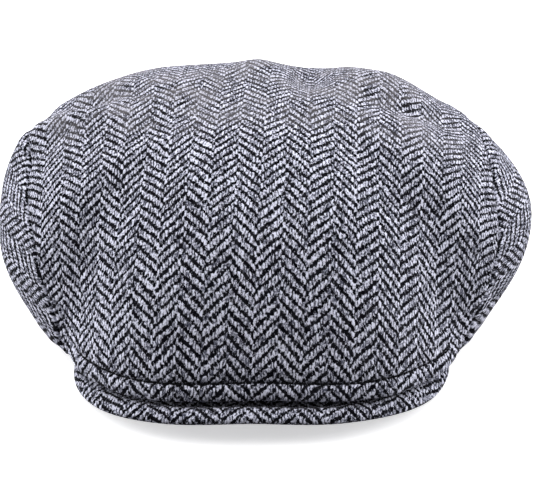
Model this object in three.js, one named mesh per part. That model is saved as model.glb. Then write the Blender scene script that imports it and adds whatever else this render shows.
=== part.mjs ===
// A three-panel wool flat cap with a short stiff peak.
// Millimetres, +Z up. The wearer faces -Y and the wearer's left is +X.
// The origin is the centre of the head opening, in the plane of its lower rim.

import * as THREE from 'three';
import { mergeVertices } from 'three/addons/utils/BufferGeometryUtils.js';

// ---- Driving dimensions ---------------------------------------------------

const RIM_HALF_WIDTH = 87; // head opening, middle of the cloth at the rim
const RIM_HALF_LENGTH = 104;
const RIM_FRONT_RISE = 12.5; // the rim arches up over the forehead
const RIM_RISE_END = 78; // degrees from the front where the arch has died out

const CLOTH = 2.0; // wool cloth with its fusible backing
const SATIN = 0.8; // quilted lining
const CANVAS = 0.8; // stiffener behind the crown front
const TOUCH = 0.3; // gap kept between layers that lie on each other
const SEAM_GAP = 1.6; // each panel stops this far from its seam line
const THREAD_RADIUS = 0.35;

const CORNER_ANGLE = 54; // degrees from the front where the side panels begin

// Crown and lining: degrees from the front, then the seam line between top panel and side
// panels (radius, height), the lean of the cloth there (degrees), the reach of its curve
// above the seam, the reach at the crown centre, and the flare of the side panel at the rim.
const CROWN = {
  apex: 111,
  apexBack: 8,
  stations: [
    [0, 133, 18.5, 68, 60, 66, 30],
    [22, 137, 15.5, 72, 58, 68, 30],
    [40, 126, 10.5, 84, 60, 68, 30],
    [50, 116, 9.5, 93, 61, 69, 14],
    [56, 117, 14, 94, 58, 70, 10],
    [63, 121.5, 29, 88, 50, 72, 10],
    [71, 122.5, 45, 78, 40, 73, 12],
    [80, 121.5, 58, 64, 36, 74, 14],
    [90, 120.5, 68, 56, 32, 74, 18],
    [101, 122, 74, 54, 30, 74, 22],
    [113, 126, 76, 56, 29, 73, 26],
    [130, 127, 76, 58, 28, 70, 30],
    [153, 122, 75, 58, 28, 64, 32],
    [180, 117, 74, 58, 28, 60, 32],
  ],
  lowerEdge: shellLowerEdge,
};
const LINING = {
  apex: 106,
  apexBack: 8,
  stations: [
    [0, 100.6, 15, 104, 60, 58, 60],
    [15, 99.1, 14.2, 104, 59, 58, 60],
    [30, 95.4, 12, 104, 58, 58, 60],
    [45, 91.0, 8.5, 104, 56, 58, 60],
    [52, 89.0, 8, 103, 54, 58, 60],
    [58, 88.4, 16, 102, 50, 60, 60],
    [64, 94, 30, 84, 44, 64, 60],
    [72, 104, 44, 74, 38, 66, 60],
    [90, 108, 62, 60, 32, 68, 60],
    [113, 115, 70, 62, 32, 72, 60],
    [150, 114, 71, 62, 32, 66, 60],
    [180, 110, 71, 62, 32, 62, 60],
  ],
  lowerEdge: liningLowerEdge,
};
const SIDE_HANDLES = [0.5, 0.7]; // curve reach of a side panel at its rim and at its seam

// The side panel's front tip lies on the peak's rear corner, outside the rim line.
const TIP = { radius: 112, height: 9.6, end: 70, lift: 57 };
const HEM_HALF = 1.4; // half width of the flat turned-in hem at the rim

const PEAK = {
  halfWidth: 91,
  widestY: -70,
  frontReach: 73, // from the widest line to the front edge
  rearReach: 49,
  fullness: 2.25, // squareness of the front outline
  cornerLean: 24, // degrees of outline kept behind the widest line
  rootAngle: 57, // the root follows the rim to this angle
  rootGap: 1.2,
  centreHeight: 13.4, // middle of its thickness at the front edge
  arch: 10, // drop from the centre to 90 mm out
  slope: 0.04, // rise per mm towards the root, at the centre
};
// Layers of the peak, bottom and top, measured from the middle of its thickness.
const PEAK_LAYERS = {
  under: [-2.35, -1.45],
  board: [-1.15, 0.05],
  padding: [0.35, 1.05],
  upper: [1.35, 2.35],
};
const PEAK_LIP = { width: 1.0, underTop: -0.35, upperFoot: -0.05 };
const BOARD_INSET = 2.2;

// Bands inside the rim: distance in from the rim line, thickness, and height range above it.
const TAPE = { inset: 1.5, thickness: 0.7, low: 1.5, high: 8.5 };
const SWEATBAND = { inset: 5.0, thickness: 1.2, low: 1.0, high: 33.0 };
const BAND_STITCH = { inset: 6.2, thickness: 0.6, low: 3.0, high: 3.8 };
const LINING_INSET = 3.4;
const LINING_FOOT = 10.0;

const TOPSTITCH_UP = 10; // topstitching above the crown's front edge
const LABEL = { width: 60, depth: 36, thickness: 0.6, below: 2.4, curl: 0.004 };
const SIZE_TAB = { width: 14, height: 20, thickness: 0.6, y: 97.3, low: 7 };

// ---- Small tools ----------------------------------------------------------

const radians = THREE.MathUtils.degToRad;
const smoothstep = THREE.MathUtils.smoothstep;

function angles(from, to, step) {
  const count = Math.round((to - from) / step);
  return Array.from({ length: count + 1 }, (_, i) => from + ((to - from) * i) / count);
}

function fractions(count, from = 0, to = 1) {
  return Array.from({ length: count + 1 }, (_, i) => from + ((to - from) * i) / count);
}

function polar(angle, radius, height) {
  const a = radians(angle);
  return new THREE.Vector3(radius * Math.sin(a), -radius * Math.cos(a), height);
}

function bezier(t, p0, p1, p2, p3) {
  const m = 1 - t;
  return m ** 3 * p0 + 3 * m * m * t * p1 + 3 * m * t * t * p2 + t ** 3 * p3;
}

// A closed solid between two grids of points, grid[column][row]. Seen from outside the
// first grid, columns run to the right and rows run up.
function shell(outer, inner, { closed = false, pole = false } = {}) {
  const triangles = [];
  const triangle = (a, b, c) => {
    if (!a.equals(b) && !b.equals(c) && !c.equals(a)) triangles.push(a, b, c);
  };
  const quad = (a, b, c, d) => {
    triangle(a, b, c);
    triangle(a, c, d);
  };
  const columns = outer.length;
  const top = outer[0].length - 1;
  const spans = closed ? columns : columns - 1;
  for (let i = 0; i < spans; i += 1) {
    const k = (i + 1) % columns;
    for (let j = 0; j < top; j += 1) {
      quad(outer[i][j], outer[k][j], outer[k][j + 1], outer[i][j + 1]);
      quad(inner[i][j], inner[i][j + 1], inner[k][j + 1], inner[k][j]);
    }
    quad(inner[i][0], inner[k][0], outer[k][0], outer[i][0]);
    if (!pole) quad(outer[i][top], outer[k][top], inner[k][top], inner[i][top]);
  }
  if (!closed) {
    const end = columns - 1;
    for (let j = 0; j < top; j += 1) {
      quad(outer[0][j], outer[0][j + 1], inner[0][j + 1], inner[0][j]);
      quad(outer[end][j + 1], outer[end][j], inner[end][j], inner[end][j + 1]);
    }
  }
  const geometry = new THREE.BufferGeometry().setFromPoints(triangles);
  const merged = mergeVertices(geometry, 1e-4);
  merged.computeVertexNormals();
  return merged;
}

// A round thread along a list of points.
function thread(points, steps, radius = THREAD_RADIUS) {
  const sides = 5;
  const section = new THREE.Shape(
    fractions(sides - 1, 0, (sides - 1) / sides).map((f) => new THREE.Vector2(
      radius * Math.cos(2 * Math.PI * f),
      radius * Math.sin(2 * Math.PI * f),
    )),
  );
  const extrudePath = new THREE.CatmullRomCurve3(points, false, 'centripetal');
  return new THREE.ExtrudeGeometry(section, { steps, extrudePath, bevelEnabled: false });
}

// ---- Rim and crown surfaces -----------------------------------------------

function rimRadius(angle) {
  const a = radians(angle);
  return 1 / Math.hypot(Math.sin(a) / RIM_HALF_WIDTH, Math.cos(a) / RIM_HALF_LENGTH);
}

function rimRise(angle) {
  const share = Math.min(Math.abs(angle) / RIM_RISE_END, 1);
  return RIM_FRONT_RISE * (1 - share ** 2) ** 1.5;
}

function shellLowerEdge(angle) {
  const a = Math.abs(angle);
  const settled = smoothstep(a, CORNER_ANGLE - 1, TIP.end);
  const dropped = smoothstep(a, TIP.lift, TIP.end);
  const rim = rimRadius(a);
  return [TIP.radius + (rim - TIP.radius) * settled, TIP.height * (1 - dropped)];
}

function liningLowerEdge(angle) {
  return [rimRadius(angle) - LINING_INSET, rimRise(angle) + LINING_FOOT];
}

// The top panel runs from the seam line (t = 0) to the crown centre (t = 1), and the side
// panels from the rim (t = 0) to the seam line (t = 1).
function crownSurfaces({ apex, apexBack, stations, lowerEdge }) {
  const times = stations.map((row) => row[0]);
  const values = stations.flatMap((row) => row.slice(1));
  const curve = new THREE.CubicInterpolant(times, values, stations[0].length - 1);
  curve.settings = { endingStart: THREE.ZeroSlopeEnding, endingEnd: THREE.ZeroSlopeEnding };

  const station = (angle) => {
    const [radius, height, lean, lowReach, topReach, flare] = curve.evaluate(Math.abs(angle));
    return { radius, height, lean: radians(lean), lowReach, topReach, flare: radians(flare) };
  };

  const top = (angle, t) => {
    const s = station(angle);
    const radius = bezier(t, s.radius, s.radius - s.lowReach * Math.cos(s.lean), s.topReach, 0);
    const height = bezier(t, s.height, s.height + s.lowReach * Math.sin(s.lean), apex, apex);
    const point = polar(angle, radius, height);
    point.y += apexBack * t * t * (3 - 2 * t);
    return point;
  };

  const side = (angle, t) => {
    const s = station(angle);
    const [footRadius, footHeight] = lowerEdge(angle);
    const span = Math.hypot(s.radius - footRadius, s.height - footHeight);
    const low = SIDE_HANDLES[0] * span;
    const high = SIDE_HANDLES[1] * span;
    const radius = bezier(t, footRadius, footRadius + low * Math.cos(s.flare),
      s.radius + high * Math.cos(s.lean), s.radius);
    const height = bezier(t, footHeight, footHeight + low * Math.sin(s.flare),
      s.height - high * Math.sin(s.lean), s.height);
    return polar(angle, radius, height);
  };

  // Curve parameter that lies a distance along the cloth from the seam line.
  const topStart = (angle, distance) => distance / (3 * station(angle).lowReach);
  const sideEnd = (angle, distance) => {
    const s = station(angle);
    const [footRadius, footHeight] = lowerEdge(angle);
    const span = Math.hypot(s.radius - footRadius, s.height - footHeight);
    return 1 - distance / (3 * SIDE_HANDLES[1] * span);
  };
  return { top, side, topStart, sideEnd, seam: (angle) => top(angle, 0) };
}

// A point moved off a surface along its outward normal.
function lifted(surface, angle, t, distance) {
  const point = surface(angle, t);
  if (t > 0.999) return point.setZ(point.z + distance);
  const across = surface(angle + 0.05, t).sub(surface(angle - 0.05, t));
  const along = surface(angle, t + 0.0005).sub(surface(angle, t - 0.0005));
  return point.addScaledVector(across.cross(along).normalize(), distance);
}

const crown = crownSurfaces(CROWN);
const lining = crownSurfaces(LINING);

// ---- Crown ----------------------------------------------------------------

function domePanel(surfaces, step, rows, thickness) {
  const grid = (distance) => angles(-180, 180 - step, step).map((angle) => (
    fractions(rows, surfaces.topStart(angle, SEAM_GAP), 1).map((t) => (
      lifted(surfaces.top, angle, t, distance)))
  ));
  return shell(grid(thickness / 2), grid(-thickness / 2), { closed: true, pole: true });
}

function sidePanel(surfaces, wearerSide, columns, rows, thickness, footHalf) {
  const ordered = wearerSide > 0 ? columns : columns.map((angle) => -angle).reverse();
  const grid = (sign) => ordered.map((angle) => {
    const column = fractions(rows, 0, surfaces.sideEnd(angle, SEAM_GAP)).map((t) => (
      lifted(surfaces.side, angle, t, (sign * thickness) / 2)));
    const foot = surfaces.side(angle, 0);
    column[0] = foot.add(polar(angle, sign * footHalf, 0));
    return column;
  });
  return shell(grid(1), grid(-1));
}

// The last column stops short of the centre back, where the two side panels are sewn.
function panelColumns(step, from) {
  const columns = angles(from, 180, step);
  columns[columns.length - 1] -= THREE.MathUtils.radToDeg(SEAM_GAP / 120);
  return columns;
}

function shellSide(wearerSide) {
  return sidePanel(crown, wearerSide, panelColumns(6, CORNER_ANGLE), 7, CLOTH, HEM_HALF);
}

function liningSide(wearerSide) {
  return sidePanel(lining, wearerSide, panelColumns(7.5, 60), 5, SATIN, SATIN / 2);
}

function seamThread(wearerSide) {
  const points = angles(CORNER_ANGLE + 4, 178, 4).map((angle) => crown.seam(angle * wearerSide));
  return thread(points, 50);
}

function backSeamThread() {
  return thread(fractions(10, 0.04, 0.97).map((t) => crown.side(180, t)), 12);
}

function frontTopstitch() {
  const lift = CLOTH / 2 + 2 * TOUCH + THREAD_RADIUS;
  const points = angles(-48, 48, 3).map((angle) => (
    lifted(crown.top, angle, crown.topStart(angle, TOPSTITCH_UP), lift)));
  return thread(points, 36);
}

function crownInterlining() {
  const depth = CLOTH / 2 + 3 * TOUCH + CANVAS / 2;
  const grid = (distance) => angles(-48, 48, 6).map((angle) => (
    fractions(5, 0.05, 0.42).map((t) => lifted(crown.top, angle, t, distance))));
  return shell(grid(CANVAS / 2 - depth), grid(-CANVAS / 2 - depth));
}

// ---- Inside the rim -------------------------------------------------------

function band({ inset, thickness, low, high }) {
  const grid = (offset) => angles(-180, 172.5, 7.5).map((angle) => (
    [low, high].map((height) => (
      polar(angle, rimRadius(angle) - inset + offset, rimRise(angle) + height)))
  ));
  return shell(grid(thickness / 2), grid(-thickness / 2), { closed: true });
}

// A woven label under the middle of the lining, curled with it.
function liningLabel() {
  const geometry = new THREE.BoxGeometry(LABEL.width, LABEL.depth, LABEL.thickness, 10, 6, 1);
  const position = geometry.attributes.position;
  const middle = LINING.apex - SATIN / 2 - LABEL.below - LABEL.thickness / 2;
  for (let i = 0; i < position.count; i += 1) {
    const drop = LABEL.curl * (position.getX(i) ** 2 + position.getY(i) ** 2);
    position.setZ(i, position.getZ(i) + middle - drop);
  }
  return geometry.translate(0, LINING.apexBack, 0);
}

function sizeTab() {
  const geometry = new THREE.BoxGeometry(SIZE_TAB.width, SIZE_TAB.thickness, SIZE_TAB.height);
  return geometry.translate(0, SIZE_TAB.y, SIZE_TAB.low + SIZE_TAB.height / 2);
}

// ---- Peak -----------------------------------------------------------------

function peakHeight(x, y) {
  const out = (x / 90) ** 2;
  const back = y - (PEAK.widestY - PEAK.frontReach);
  return PEAK.centreHeight - PEAK.arch * out + PEAK.slope * back * Math.max(1 - out, 0);
}

// The outline runs from the rear corner on -X (u = -1), round the front, to the other (u = 1).
function peakOutline(u) {
  const lean = 90 + PEAK.cornerLean;
  const turn = radians(90 - Math.abs(u) * lean);
  const power = turn > 0 ? 2 / PEAK.fullness : 1;
  const reach = turn > 0 ? PEAK.frontReach : PEAK.rearReach;
  const x = PEAK.halfWidth * Math.cos(turn) ** power;
  const y = PEAK.widestY - Math.sign(turn) * reach * Math.abs(Math.sin(turn)) ** power;
  return new THREE.Vector2(Math.sign(u) * x, y);
}

function peakRoot(u) {
  const angle = u * PEAK.rootAngle;
  const point = polar(angle, rimRadius(angle) + PEAK.rootGap, 0);
  return new THREE.Vector2(point.x, point.y);
}

// One column of the peak: points at a list of [distance in from the outline, height offset].
function peakColumn(u, stops) {
  const outer = peakOutline(u);
  const root = peakRoot(u);
  const length = outer.distanceTo(root);
  return stops.map(([inset, offset]) => {
    const flat = outer.clone().lerp(root, Math.min(inset / length, 1));
    return new THREE.Vector3(flat.x, flat.y, peakHeight(flat.x, flat.y) + offset);
  });
}

// A flat layer between two height offsets, its outer edge set in from the outline.
// Rows run from the root outwards, so the underside is the first grid.
function peakLayer([bottom, top], inset, uEnd) {
  const rows = 4;
  const grid = (offset) => fractions(24, -uEnd, uEnd).map((u) => {
    const length = peakOutline(u).distanceTo(peakRoot(u));
    const stops = fractions(rows).map((f) => [length + (inset - length) * f, offset]);
    return peakColumn(u, stops);
  });
  return shell(grid(bottom), grid(top));
}

// A cover is a layer with a lip turned over the edge of the board.
function peakCover([bottom, top], lipEdge) {
  const rows = 4;
  const lipBelow = lipEdge < bottom;
  const grid = (isUnderside) => fractions(24, -1, 1).map((u) => {
    const length = peakOutline(u).distanceTo(peakRoot(u));
    const offset = isUnderside ? bottom : top;
    const edgeInset = isUnderside === lipBelow ? PEAK_LIP.width : 0;
    const stops = fractions(rows).map((f) => [length + (edgeInset - length) * f, offset]);
    stops.push([edgeInset, lipEdge]);
    return peakColumn(u, stops);
  });
  return shell(grid(true), grid(false));
}

function peakSeamThread() {
  const points = angles(-55, 55, 5).map((angle) => (
    polar(angle, rimRadius(angle) - 0.1, rimRise(angle) + TAPE.low + 1)));
  return thread(points, 28);
}

// ---- Materials and assembly -----------------------------------------------

function material(color, roughness) {
  return new THREE.MeshStandardMaterial({ color, roughness, metalness: 0 });
}

const WOOL = 0x63656f;
const SEWING = 0x25262c;
const LINING_COLOUR = 0x2c2e36;

const pieces = [
  ['top_panel', domePanel(crown, 6, 10, CLOTH), material(WOOL, 0.95)],
  ['left_side_panel', shellSide(1), material(WOOL, 0.95)],
  ['right_side_panel', shellSide(-1), material(WOOL, 0.95)],
  ['left_seam_thread', seamThread(1), material(SEWING, 0.8)],
  ['right_seam_thread', seamThread(-1), material(SEWING, 0.8)],
  ['back_seam_thread', backSeamThread(), material(SEWING, 0.8)],
  ['front_topstitch', frontTopstitch(), material(SEWING, 0.8)],
  ['crown_interlining', crownInterlining(), material(0xb9b3a4, 0.9)],
  ['lining_top', domePanel(lining, 7.5, 5, SATIN), material(LINING_COLOUR, 0.5)],
  ['lining_left', liningSide(1), material(LINING_COLOUR, 0.5)],
  ['lining_right', liningSide(-1), material(LINING_COLOUR, 0.5)],
  ['headband_tape', band(TAPE), material(0x33343a, 0.9)],
  ['sweatband', band(SWEATBAND), material(0x1d1e23, 0.85)],
  ['sweatband_stitch', band(BAND_STITCH), material(SEWING, 0.8)],
  ['lining_label', liningLabel(), material(0x8a8b90, 0.6)],
  ['size_tab', sizeTab(), material(0xd8d8d4, 0.6)],
  ['peak_upper_cover', peakCover(PEAK_LAYERS.upper, PEAK_LIP.upperFoot), material(WOOL, 0.95)],
  ['peak_under_cover', peakCover(PEAK_LAYERS.under, PEAK_LIP.underTop), material(WOOL, 0.95)],
  ['peak_board', peakLayer(PEAK_LAYERS.board, BOARD_INSET, 0.97), material(0xe4e2da, 0.6)],
  ['peak_padding', peakLayer(PEAK_LAYERS.padding, BOARD_INSET, 0.97), material(0xd9d6cc, 0.9)],
  ['peak_seam_thread', peakSeamThread(), material(SEWING, 0.8)],
];

const cap = new THREE.Group();
for (const [name, geometry, meshMaterial] of pieces) {
  const mesh = new THREE.Mesh(geometry, meshMaterial);
  mesh.name = name;
  cap.add(mesh);
}

export default cap;
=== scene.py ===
"""A three-panel wool flat cap with a short peak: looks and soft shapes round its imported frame.

Lengths in this file are millimetres and angles degrees, in the frame's own axes (the wearer
faces -Y, +Z is up), and meshes are turned into metres as they are made. The camera, the lights,
the floor and the materials' places and bumps are in metres. Angles round the cap count from the
front, positive towards +X, the wearer's left. A wearer_side is 1 for left, -1 for right.
"""

import bpy
import numpy as np
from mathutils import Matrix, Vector


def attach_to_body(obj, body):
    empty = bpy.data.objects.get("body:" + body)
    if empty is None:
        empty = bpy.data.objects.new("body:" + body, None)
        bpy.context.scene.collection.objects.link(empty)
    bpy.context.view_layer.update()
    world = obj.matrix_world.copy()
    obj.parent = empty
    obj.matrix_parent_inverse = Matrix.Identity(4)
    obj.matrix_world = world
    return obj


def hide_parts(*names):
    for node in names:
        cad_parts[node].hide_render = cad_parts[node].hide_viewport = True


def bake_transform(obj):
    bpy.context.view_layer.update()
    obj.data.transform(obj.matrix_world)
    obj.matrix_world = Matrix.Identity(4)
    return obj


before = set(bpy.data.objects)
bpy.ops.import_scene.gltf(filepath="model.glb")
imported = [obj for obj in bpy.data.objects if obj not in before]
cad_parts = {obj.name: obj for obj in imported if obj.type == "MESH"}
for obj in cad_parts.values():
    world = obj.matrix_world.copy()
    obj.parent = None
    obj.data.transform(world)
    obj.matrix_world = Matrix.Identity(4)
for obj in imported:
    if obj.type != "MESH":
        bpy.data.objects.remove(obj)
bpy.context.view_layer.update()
MM = 0.001

# ---- Driving sizes ----

# The rim's half width and half depth, and how far it rises at the front, up to an angle.
RIM_HALF = (87.0, 104.0)
RIM_RISE = 12.5
RIM_RISE_END = 78.0

CORNER = 54.0  # where the side panels begin

# A side panel's front end stands on the peak. Its foot has this radius and height there, comes
# in to the rim from "start" to "end", and comes down to it from "lift" to "end".
TIP = {"radius": 112.0, "height": 9.6, "start": 53.0, "lift": 57.0, "end": 70.0}

APEX_BACK = 8.0  # the crown's highest point, back from the middle

# Angle, then the seam line between top and side panels (radius, height), the lean of the cloth
# there, the reach of its curve above the seam and at the crown centre, and the flare of the
# side panel at the rim.
CROWN = [
    [0, 133, 18.5, 68, 60, 66, 30],
    [22, 137, 15.5, 72, 58, 68, 30],
    [40, 126, 10.5, 84, 60, 68, 30],
    [50, 116, 9.5, 93, 61, 69, 14],
    [56, 117, 14, 94, 58, 70, 10],
    [63, 121.5, 29, 88, 50, 72, 10],
    [71, 122.5, 45, 78, 40, 73, 12],
    [80, 121.5, 58, 64, 36, 74, 14],
    [90, 120.5, 68, 56, 32, 74, 18],
    [101, 122, 74, 54, 30, 74, 22],
    [113, 126, 76, 56, 29, 73, 26],
    [130, 127, 76, 58, 28, 70, 30],
    [153, 122, 75, 58, 28, 64, 32],
    [180, 117, 74, 58, 28, 60, 32],
]
LINING = [
    [0, 100.6, 15, 104, 60, 58, 60],
    [15, 99.1, 14.2, 104, 59, 58, 60],
    [30, 95.4, 12, 104, 58, 58, 60],
    [45, 91.0, 8.5, 104, 56, 58, 60],
    [52, 89.0, 8, 103, 54, 58, 60],
    [58, 88.4, 16, 102, 50, 60, 60],
    [64, 94, 30, 84, 44, 64, 60],
    [72, 104, 44, 74, 38, 66, 60],
    [90, 108, 62, 60, 32, 68, 60],
    [113, 115, 70, 62, 32, 72, 60],
    [150, 114, 71, 62, 32, 66, 60],
    [180, 110, 71, 62, 32, 62, 60],
]
CROWN_APEX, LINING_APEX = 111.0, 106.0
SIDE_HANDLES = (0.5, 0.7)  # reach of a side's curve at the rim and at the seam, by its span
LINING_INSET, LINING_FOOT = 3.4, 10.0  # the lining's lower edge, in from the rim and above it

# Angles, and how far this cap's left and right side seams lie above the drafted ones there.
SEAM_ANGLES = [54, 57, 61, 64, 70, 76, 82, 101, 125, 150, 180]
LEFT_SHIFTS = [0, 0, 0, 3, 10, 14, 14, 11, 5, 0, 0]
RIGHT_SHIFTS = [0, 6, 11, 13, 13, 11, 10, 8, 4, 0, 0]
DEGREE_AT_BACK = 2.1  # distance along the cloth for one degree, near the back seam

# Cloth thickness, the radius of its edges, and how far its face lies above the drafted surface.
CLOTH, CLOTH_EDGE, CLOTH_LIFT = 2.0, 2.0, 1.0
HEM_ENDS = (46.0, 54.0)  # angles between which the top panel's front hem turns into its side seam
HEM_EDGE = 3.0
STITCH_UP = 10.0  # the topstitching, up from the hem's edge

QUILT = 26.0  # spacing of the quilting lines
QUILT_HEIGHT = 1.8
LINING_CLOTH = 0.8
BAND_STITCH_UP = 3.4  # the sweatband's stitches, up from the rim

PEAK = {
    "half_width": 91.0,
    "widest_y": -70.0,
    "front": 73.0,
    "rear": 49.0,
    "fullness": 2.25,
    "corner_lean": 24.0,
    "root_angle": 57.0,
    "root_gap": 1.2,
    "centre": 13.4,
    "arch": 10.0,
    "arch_width": 90.0,
    "slope": 0.04,
    "sink": 1.8,  # how far the crown presses the peak's middle down, behind its front rim
    "half_thickness": 2.35,
    "cover": 1.0,  # thickness of its cloth
    "layer_inset": 2.6,  # board and wadding stop this far inside the outline
    "layer_share": 0.97,
}

YARN = 1.47  # spacing of the warp yarns
PICK = 1.42  # spacing of the weft yarns
ENDS_PER_STRIPE = 8
FABRIC_TWIST = -2.5  # the cloth's stripes against the cap's centre line
STRIPE_SHIFT = 14.7  # sideways place of the stripes on the top panel

# Soft hollows and swellings of the crown: centre (x, y), half sizes across and along, the turn
# of the first half size from +X, and height.
DENTS = [
    ((-4, 64), (13, 18), 0, 3.0),
    ((-45, 62), (34, 20), 0, -0.5),
    ((23, 62), (13, 30), 0, -10.0),
    ((62, 58), (20, 22), 0, 3.0),
    ((92, 48), (26, 50), 0, -6.0),
    ((76, 22), (28, 11), 8, -4.0),
    ((-98, 21), (19, 8), -30, 3.5),
    ((-86, 38), (20, 10), -20, -5.5),
    ((-88, 64), (30, 15), 0, 0.8),
    ((-119, 28), (12, 16), 0, 4.5),
    ((-60, -6), (24, 14), 0, -2.0),
    ((-5, 5), (60, 34), 0, -2.0),
]

# Sideways fullness: wearer's side, centre (y, z), half sizes, distance outwards.
FULLNESS = [
    (-1, (20, 70), (60, 20), 3.0),
    (-1, (-35, 18), (40, 16), -3.5),
    (1, (10, 58), (60, 26), 5.0),
    (1, (-35, 18), (40, 16), -3.0),
    (-1, (-86, 15), (18, 14), 6.5),
    (1, (-84, 15), (18, 14), 11.5),
]
RIPPLES = [(0.9, 55, 3), (0.45, 24, 4)]  # height, wavelength and seed
CROWN_SWAY = 2.0  # the high back of the crown leans to the wearer's left

# Camera and floor, then each light's name, place, size and power.
TARGET = Vector((0.0035, -0.010, 0.0355))
CAMERA_HEIGHT = 27.0
CAMERA_DISTANCE = 1.270
LENS = 169.0
FLOOR_HALF, FLOOR_HEIGHT = 4.0, -0.0008
LIGHTS = [
    ("key", (-0.35, -0.55, 1.35), 0.9, 3.0),
    ("back", (0.25, 1.2, 1.1), 1.2, 20),
    ("top", (0.0, 0.15, 1.5), 1.0, 2),
    ("wearer_left", (1.3, -0.1, 0.5), 0.9, 12),
    ("wearer_right", (-1.3, -0.1, 0.5), 0.9, 12),
]


# ---- Curves and surfaces ----

def level_spline(knots, values, x):
    """A smooth curve through the knots that is level at both ends."""
    knots, values = np.asarray(knots, float), np.asarray(values, float)
    n, h = len(knots), np.diff(knots)
    slope = np.diff(values, axis=0) / h[:, None]
    system, right = np.eye(n), np.zeros_like(values)
    for k in range(1, n - 1):
        system[k, k - 1:k + 2] = [h[k], 2 * (h[k - 1] + h[k]), h[k - 1]]
        right[k] = 3 * (h[k] * slope[k - 1] + h[k - 1] * slope[k])
    tangent = np.linalg.solve(system, right)
    i = np.clip(np.searchsorted(knots, x, side="right") - 1, 0, n - 2)
    s = ((x - knots[i]) / h[i])[..., None]
    step = h[i][..., None]
    return (
        values[i] * (1 + 2 * s) * (1 - s) ** 2
        + tangent[i] * step * s * (1 - s) ** 2
        + values[i + 1] * s * s * (3 - 2 * s)
        + tangent[i + 1] * step * s * s * (s - 1)
    )


def bezier(t, p0, p1, p2, p3):
    m = 1 - t
    return m ** 3 * p0 + 3 * m * m * t * p1 + 3 * m * t * t * p2 + t ** 3 * p3


def smooth(x, low, high):
    """0 up to low, 1 from high on, and a smooth step between them."""
    s = np.clip((x - low) / (high - low), 0, 1)
    return s * s * (3 - 2 * s)


def bell(x, width, centre=0.0):
    """1 at the centre, fading out on both sides of it."""
    return np.exp(-((x - centre) / width) ** 2)


def hump(count):
    """A full arch from 0 up to 1 and back, at that many points."""
    return np.sin(np.pi * np.linspace(0, 1, count)) ** 0.6


def full_circle(count):
    """Angles all round the cap, from -180 on, without a second 180."""
    return np.linspace(-180, 180, count + 1)[:-1]


def on_side(angles, wearer_side):
    """Angles from 0 to 180 on one side of the cap, in rising order."""
    return (angles * wearer_side)[::wearer_side]


def lengths(vectors):
    return np.linalg.norm(vectors, axis=-1)


def unit(vectors):
    return vectors / np.maximum(lengths(vectors)[..., None], 1e-9)


def polar(angle, radius, height):
    a = np.radians(angle)
    x, y, z = np.broadcast_arrays(radius * np.sin(a), -radius * np.cos(a), height)
    return np.stack([x, y, z], -1)


def rim_radius(angle):
    a = np.radians(angle)
    return 1 / np.hypot(np.sin(a) / RIM_HALF[0], np.cos(a) / RIM_HALF[1])


def rim_rise(angle):
    share = np.clip(np.abs(angle) / RIM_RISE_END, 0, 1)
    return RIM_RISE * (1 - share ** 2) ** 1.5


def shell_foot(angle):
    """Radius and height of the shell's lower edge."""
    a = np.abs(angle)
    rim = rim_radius(a)
    radius = TIP["radius"] + (rim - TIP["radius"]) * smooth(a, TIP["start"], TIP["end"])
    return radius, TIP["height"] * (1 - smooth(a, TIP["lift"], TIP["end"]))


def lining_foot(angle):
    return rim_radius(angle) - LINING_INSET, rim_rise(angle) + LINING_FOOT


class Crown:
    """The top and side surfaces of the shell or of the lining.

    On the top, t runs from the seam to the apex; on a side, from the foot to the seam.
    """

    def __init__(self, stations, apex, foot):
        self.table, self.apex, self.foot = np.array(stations, float), apex, foot

    def station(self, angle):
        row = level_spline(self.table[:, 0], self.table[:, 1:], np.abs(angle))
        radius, height, lean, low, high, flare = np.moveaxis(row, -1, 0)
        return radius, height, np.radians(lean), low, high, np.radians(flare)

    def top(self, angle, t):
        radius, height, lean, low, high, _ = self.station(angle)
        r = bezier(t, radius, radius - low * np.cos(lean), high, 0)
        z = bezier(t, height, height + low * np.sin(lean), self.apex, self.apex)
        points = polar(angle, r, z)
        points[..., 1] += APEX_BACK * t * t * (3 - 2 * t)
        return points

    def side(self, angle, t):
        radius, height, lean, _, _, flare = self.station(angle)
        foot_r, foot_z = self.foot(angle)
        span = np.hypot(radius - foot_r, height - foot_z)
        low, high = SIDE_HANDLES[0] * span, SIDE_HANDLES[1] * span
        r = bezier(t, foot_r, foot_r + low * np.cos(flare), radius + high * np.cos(lean), radius)
        z = bezier(t, foot_z, foot_z + low * np.sin(flare), height - high * np.sin(lean), height)
        return polar(angle, r, z)


SHELL = Crown(CROWN, CROWN_APEX, shell_foot)
INSIDE = Crown(LINING, LINING_APEX, lining_foot)


def profiles(surface, angles, samples=401):
    """Each angle's line on a surface, from its t = 0 edge to its t = 1 edge."""
    return surface(angles[:, None], np.linspace(0, 1, samples)[None, :])


def line_lengths(lines):
    return lengths(np.diff(lines, axis=1)).sum(1)


def by_distance(lines, distances, start=0.0, stop=None):
    """Points along each line at distances(total) from start, and those distances."""
    steps = lengths(np.diff(lines, axis=1))
    run = np.concatenate([np.zeros((len(lines), 1)), np.cumsum(steps, axis=1)], 1)
    start = np.broadcast_to(start, len(lines))
    stop = run[:, -1] if stop is None else stop
    depth = np.array([distances(b - a) for a, b in zip(start, stop)])
    grid = np.empty(depth.shape + (3,))
    for i, line in enumerate(lines):
        for axis in range(3):
            grid[i, :, axis] = np.interp(start[i] + depth[i], run[i], line[:, axis])
    return grid, depth


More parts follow.
